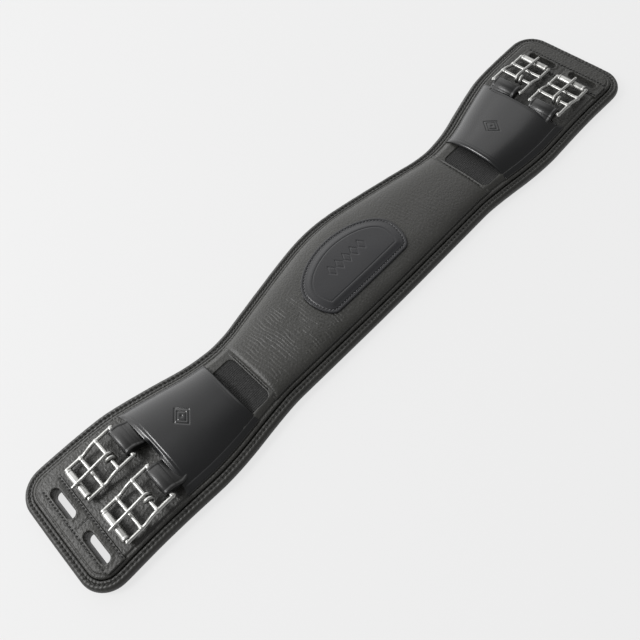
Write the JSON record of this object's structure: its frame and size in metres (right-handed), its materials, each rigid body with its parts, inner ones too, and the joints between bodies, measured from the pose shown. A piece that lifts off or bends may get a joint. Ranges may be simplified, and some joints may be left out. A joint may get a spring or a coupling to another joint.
{
  "type": "saddle girth",
  "caption": "Short shaped leather girth with a padded base, elastic at both ends, and roller buckles on sliding flaps that take the saddle's billet straps.",
  "frame": {"origin": "centre of the girth's underside, the face that lies on the horse", "axes": "+X along the girth towards its right end, +Y towards the side that bulges in the middle, +Z out of the outer face that carries the buckles"},
  "size_m": [0.658, 0.1216, 0.026],
  "materials": {
    "grain_leather": "pebbled grain, satin",
    "smooth_leather": "smooth, semi-gloss",
    "lining_leather": "soft fine grain",
    "elastic": "ribbed weave, matte",
    "webbing": "woven nylon, matte",
    "foam": "soft cellular foam, matte",
    "polished_steel": "polished stainless steel"
  },
  "bodies": {
    "pad": {"lining_panel": "lining_leather", "rolled_edge": "lining_leather", "foam_core": "foam", "cover_panel": "grain_leather", "slot_reinforcement_left": "grain_leather", "slot_reinforcement_right": "grain_leather", "core_webbing": "webbing", "overlay_padding": "foam", "centre_overlay": "grain_leather", "badge_patch": "smooth_leather", "elastic_left": "elastic", "elastic_right": "elastic"},
    "left_end": {"flap_left": "smooth_leather", "chape_left_upper": "grain_leather", "chape_left_lower": "grain_leather"},
    "right_end": {"flap_right": "smooth_leather", "chape_right_upper": "grain_leather", "chape_right_lower": "grain_leather"},
    "buckle_left_upper": {"buckle_frame_left_upper": "polished_steel"},
    "prong_left_upper": {"buckle_prong_left_upper": "polished_steel"},
    "roller_left_upper": {"buckle_roller_left_upper": "polished_steel"},
    "buckle_left_lower": {"buckle_frame_left_lower": "polished_steel"},
    "prong_left_lower": {"buckle_prong_left_lower": "polished_steel"},
    "roller_left_lower": {"buckle_roller_left_lower": "polished_steel"},
    "buckle_right_upper": {"buckle_frame_right_upper": "polished_steel"},
    "prong_right_upper": {"buckle_prong_right_upper": "polished_steel"},
    "roller_right_upper": {"buckle_roller_right_upper": "polished_steel"},
    "buckle_right_lower": {"buckle_frame_right_lower": "polished_steel"},
    "prong_right_lower": {"buckle_prong_right_lower": "polished_steel"},
    "roller_right_lower": {"buckle_roller_right_lower": "polished_steel"}
  },
  "joints": [
    {"name": "left_elastic_stretch", "type": "slide", "parent": "pad", "child": "left_end", "axis": [-1, 0, 0], "range_m": [0, 0.02], "stiffness_N_per_m": 2500},
    {"name": "right_elastic_stretch", "type": "slide", "parent": "pad", "child": "right_end", "axis": [1, 0, 0], "range_m": [0, 0.02], "stiffness_N_per_m": 2500},
    {"name": "buckle_hinge_left_upper", "type": "hinge", "parent": "left_end", "child": "buckle_left_upper", "pos_m": [-0.242, 0.0202, 0.021], "axis": [0, 1, 0], "range_deg": [0, 75]},
    {"name": "prong_hinge_left_upper", "type": "hinge", "parent": "buckle_left_upper", "child": "prong_left_upper", "pos_m": [-0.2565, 0.0202, 0.021], "axis": [0, 1, 0], "range_deg": [0, 110]},
    {"name": "roller_spin_left_upper", "type": "hinge", "parent": "buckle_left_upper", "child": "roller_left_upper", "pos_m": [-0.2865, 0.0202, 0.017], "axis": [0, 1, 0], "continuous": true},
    {"name": "buckle_hinge_left_lower", "type": "hinge", "parent": "left_end", "child": "buckle_left_lower", "pos_m": [-0.24, -0.0268, 0.021], "axis": [0, 1, 0], "range_deg": [0, 75]},
    {"name": "prong_hinge_left_lower", "type": "hinge", "parent": "buckle_left_lower", "child": "prong_left_lower", "pos_m": [-0.2545, -0.0268, 0.021], "axis": [0, 1, 0], "range_deg": [0, 110]},
    {"name": "roller_spin_left_lower", "type": "hinge", "parent": "buckle_left_lower", "child": "roller_left_lower", "pos_m": [-0.2845, -0.0268, 0.017], "axis": [0, 1, 0], "continuous": true},
    {"name": "buckle_hinge_right_upper", "type": "hinge", "parent": "right_end", "child": "buckle_right_upper", "pos_m": [0.2415, 0.0212, 0.021], "axis": [0, -1, 0], "range_deg": [0, 75]},
    {"name": "prong_hinge_right_upper", "type": "hinge", "parent": "buckle_right_upper", "child": "prong_right_upper", "pos_m": [0.256, 0.0212, 0.021], "axis": [0, -1, 0], "range_deg": [0, 110]},
    {"name": "roller_spin_right_upper", "type": "hinge", "parent": "buckle_right_upper", "child": "roller_right_upper", "pos_m": [0.286, 0.0212, 0.017], "axis": [0, 1, 0], "continuous": true},
    {"name": "buckle_hinge_right_lower", "type": "hinge", "parent": "right_end", "child": "buckle_right_lower", "pos_m": [0.2395, -0.0228, 0.021], "axis": [0, -1, 0], "range_deg": [0, 75]},
    {"name": "prong_hinge_right_lower", "type": "hinge", "parent": "buckle_right_lower", "child": "prong_right_lower", "pos_m": [0.254, -0.0228, 0.021], "axis": [0, -1, 0], "range_deg": [0, 110]},
    {"name": "roller_spin_right_lower", "type": "hinge", "parent": "buckle_right_lower", "child": "roller_right_lower", "pos_m": [0.284, -0.0228, 0.017], "axis": [0, 1, 0], "continuous": true}
  ]
}
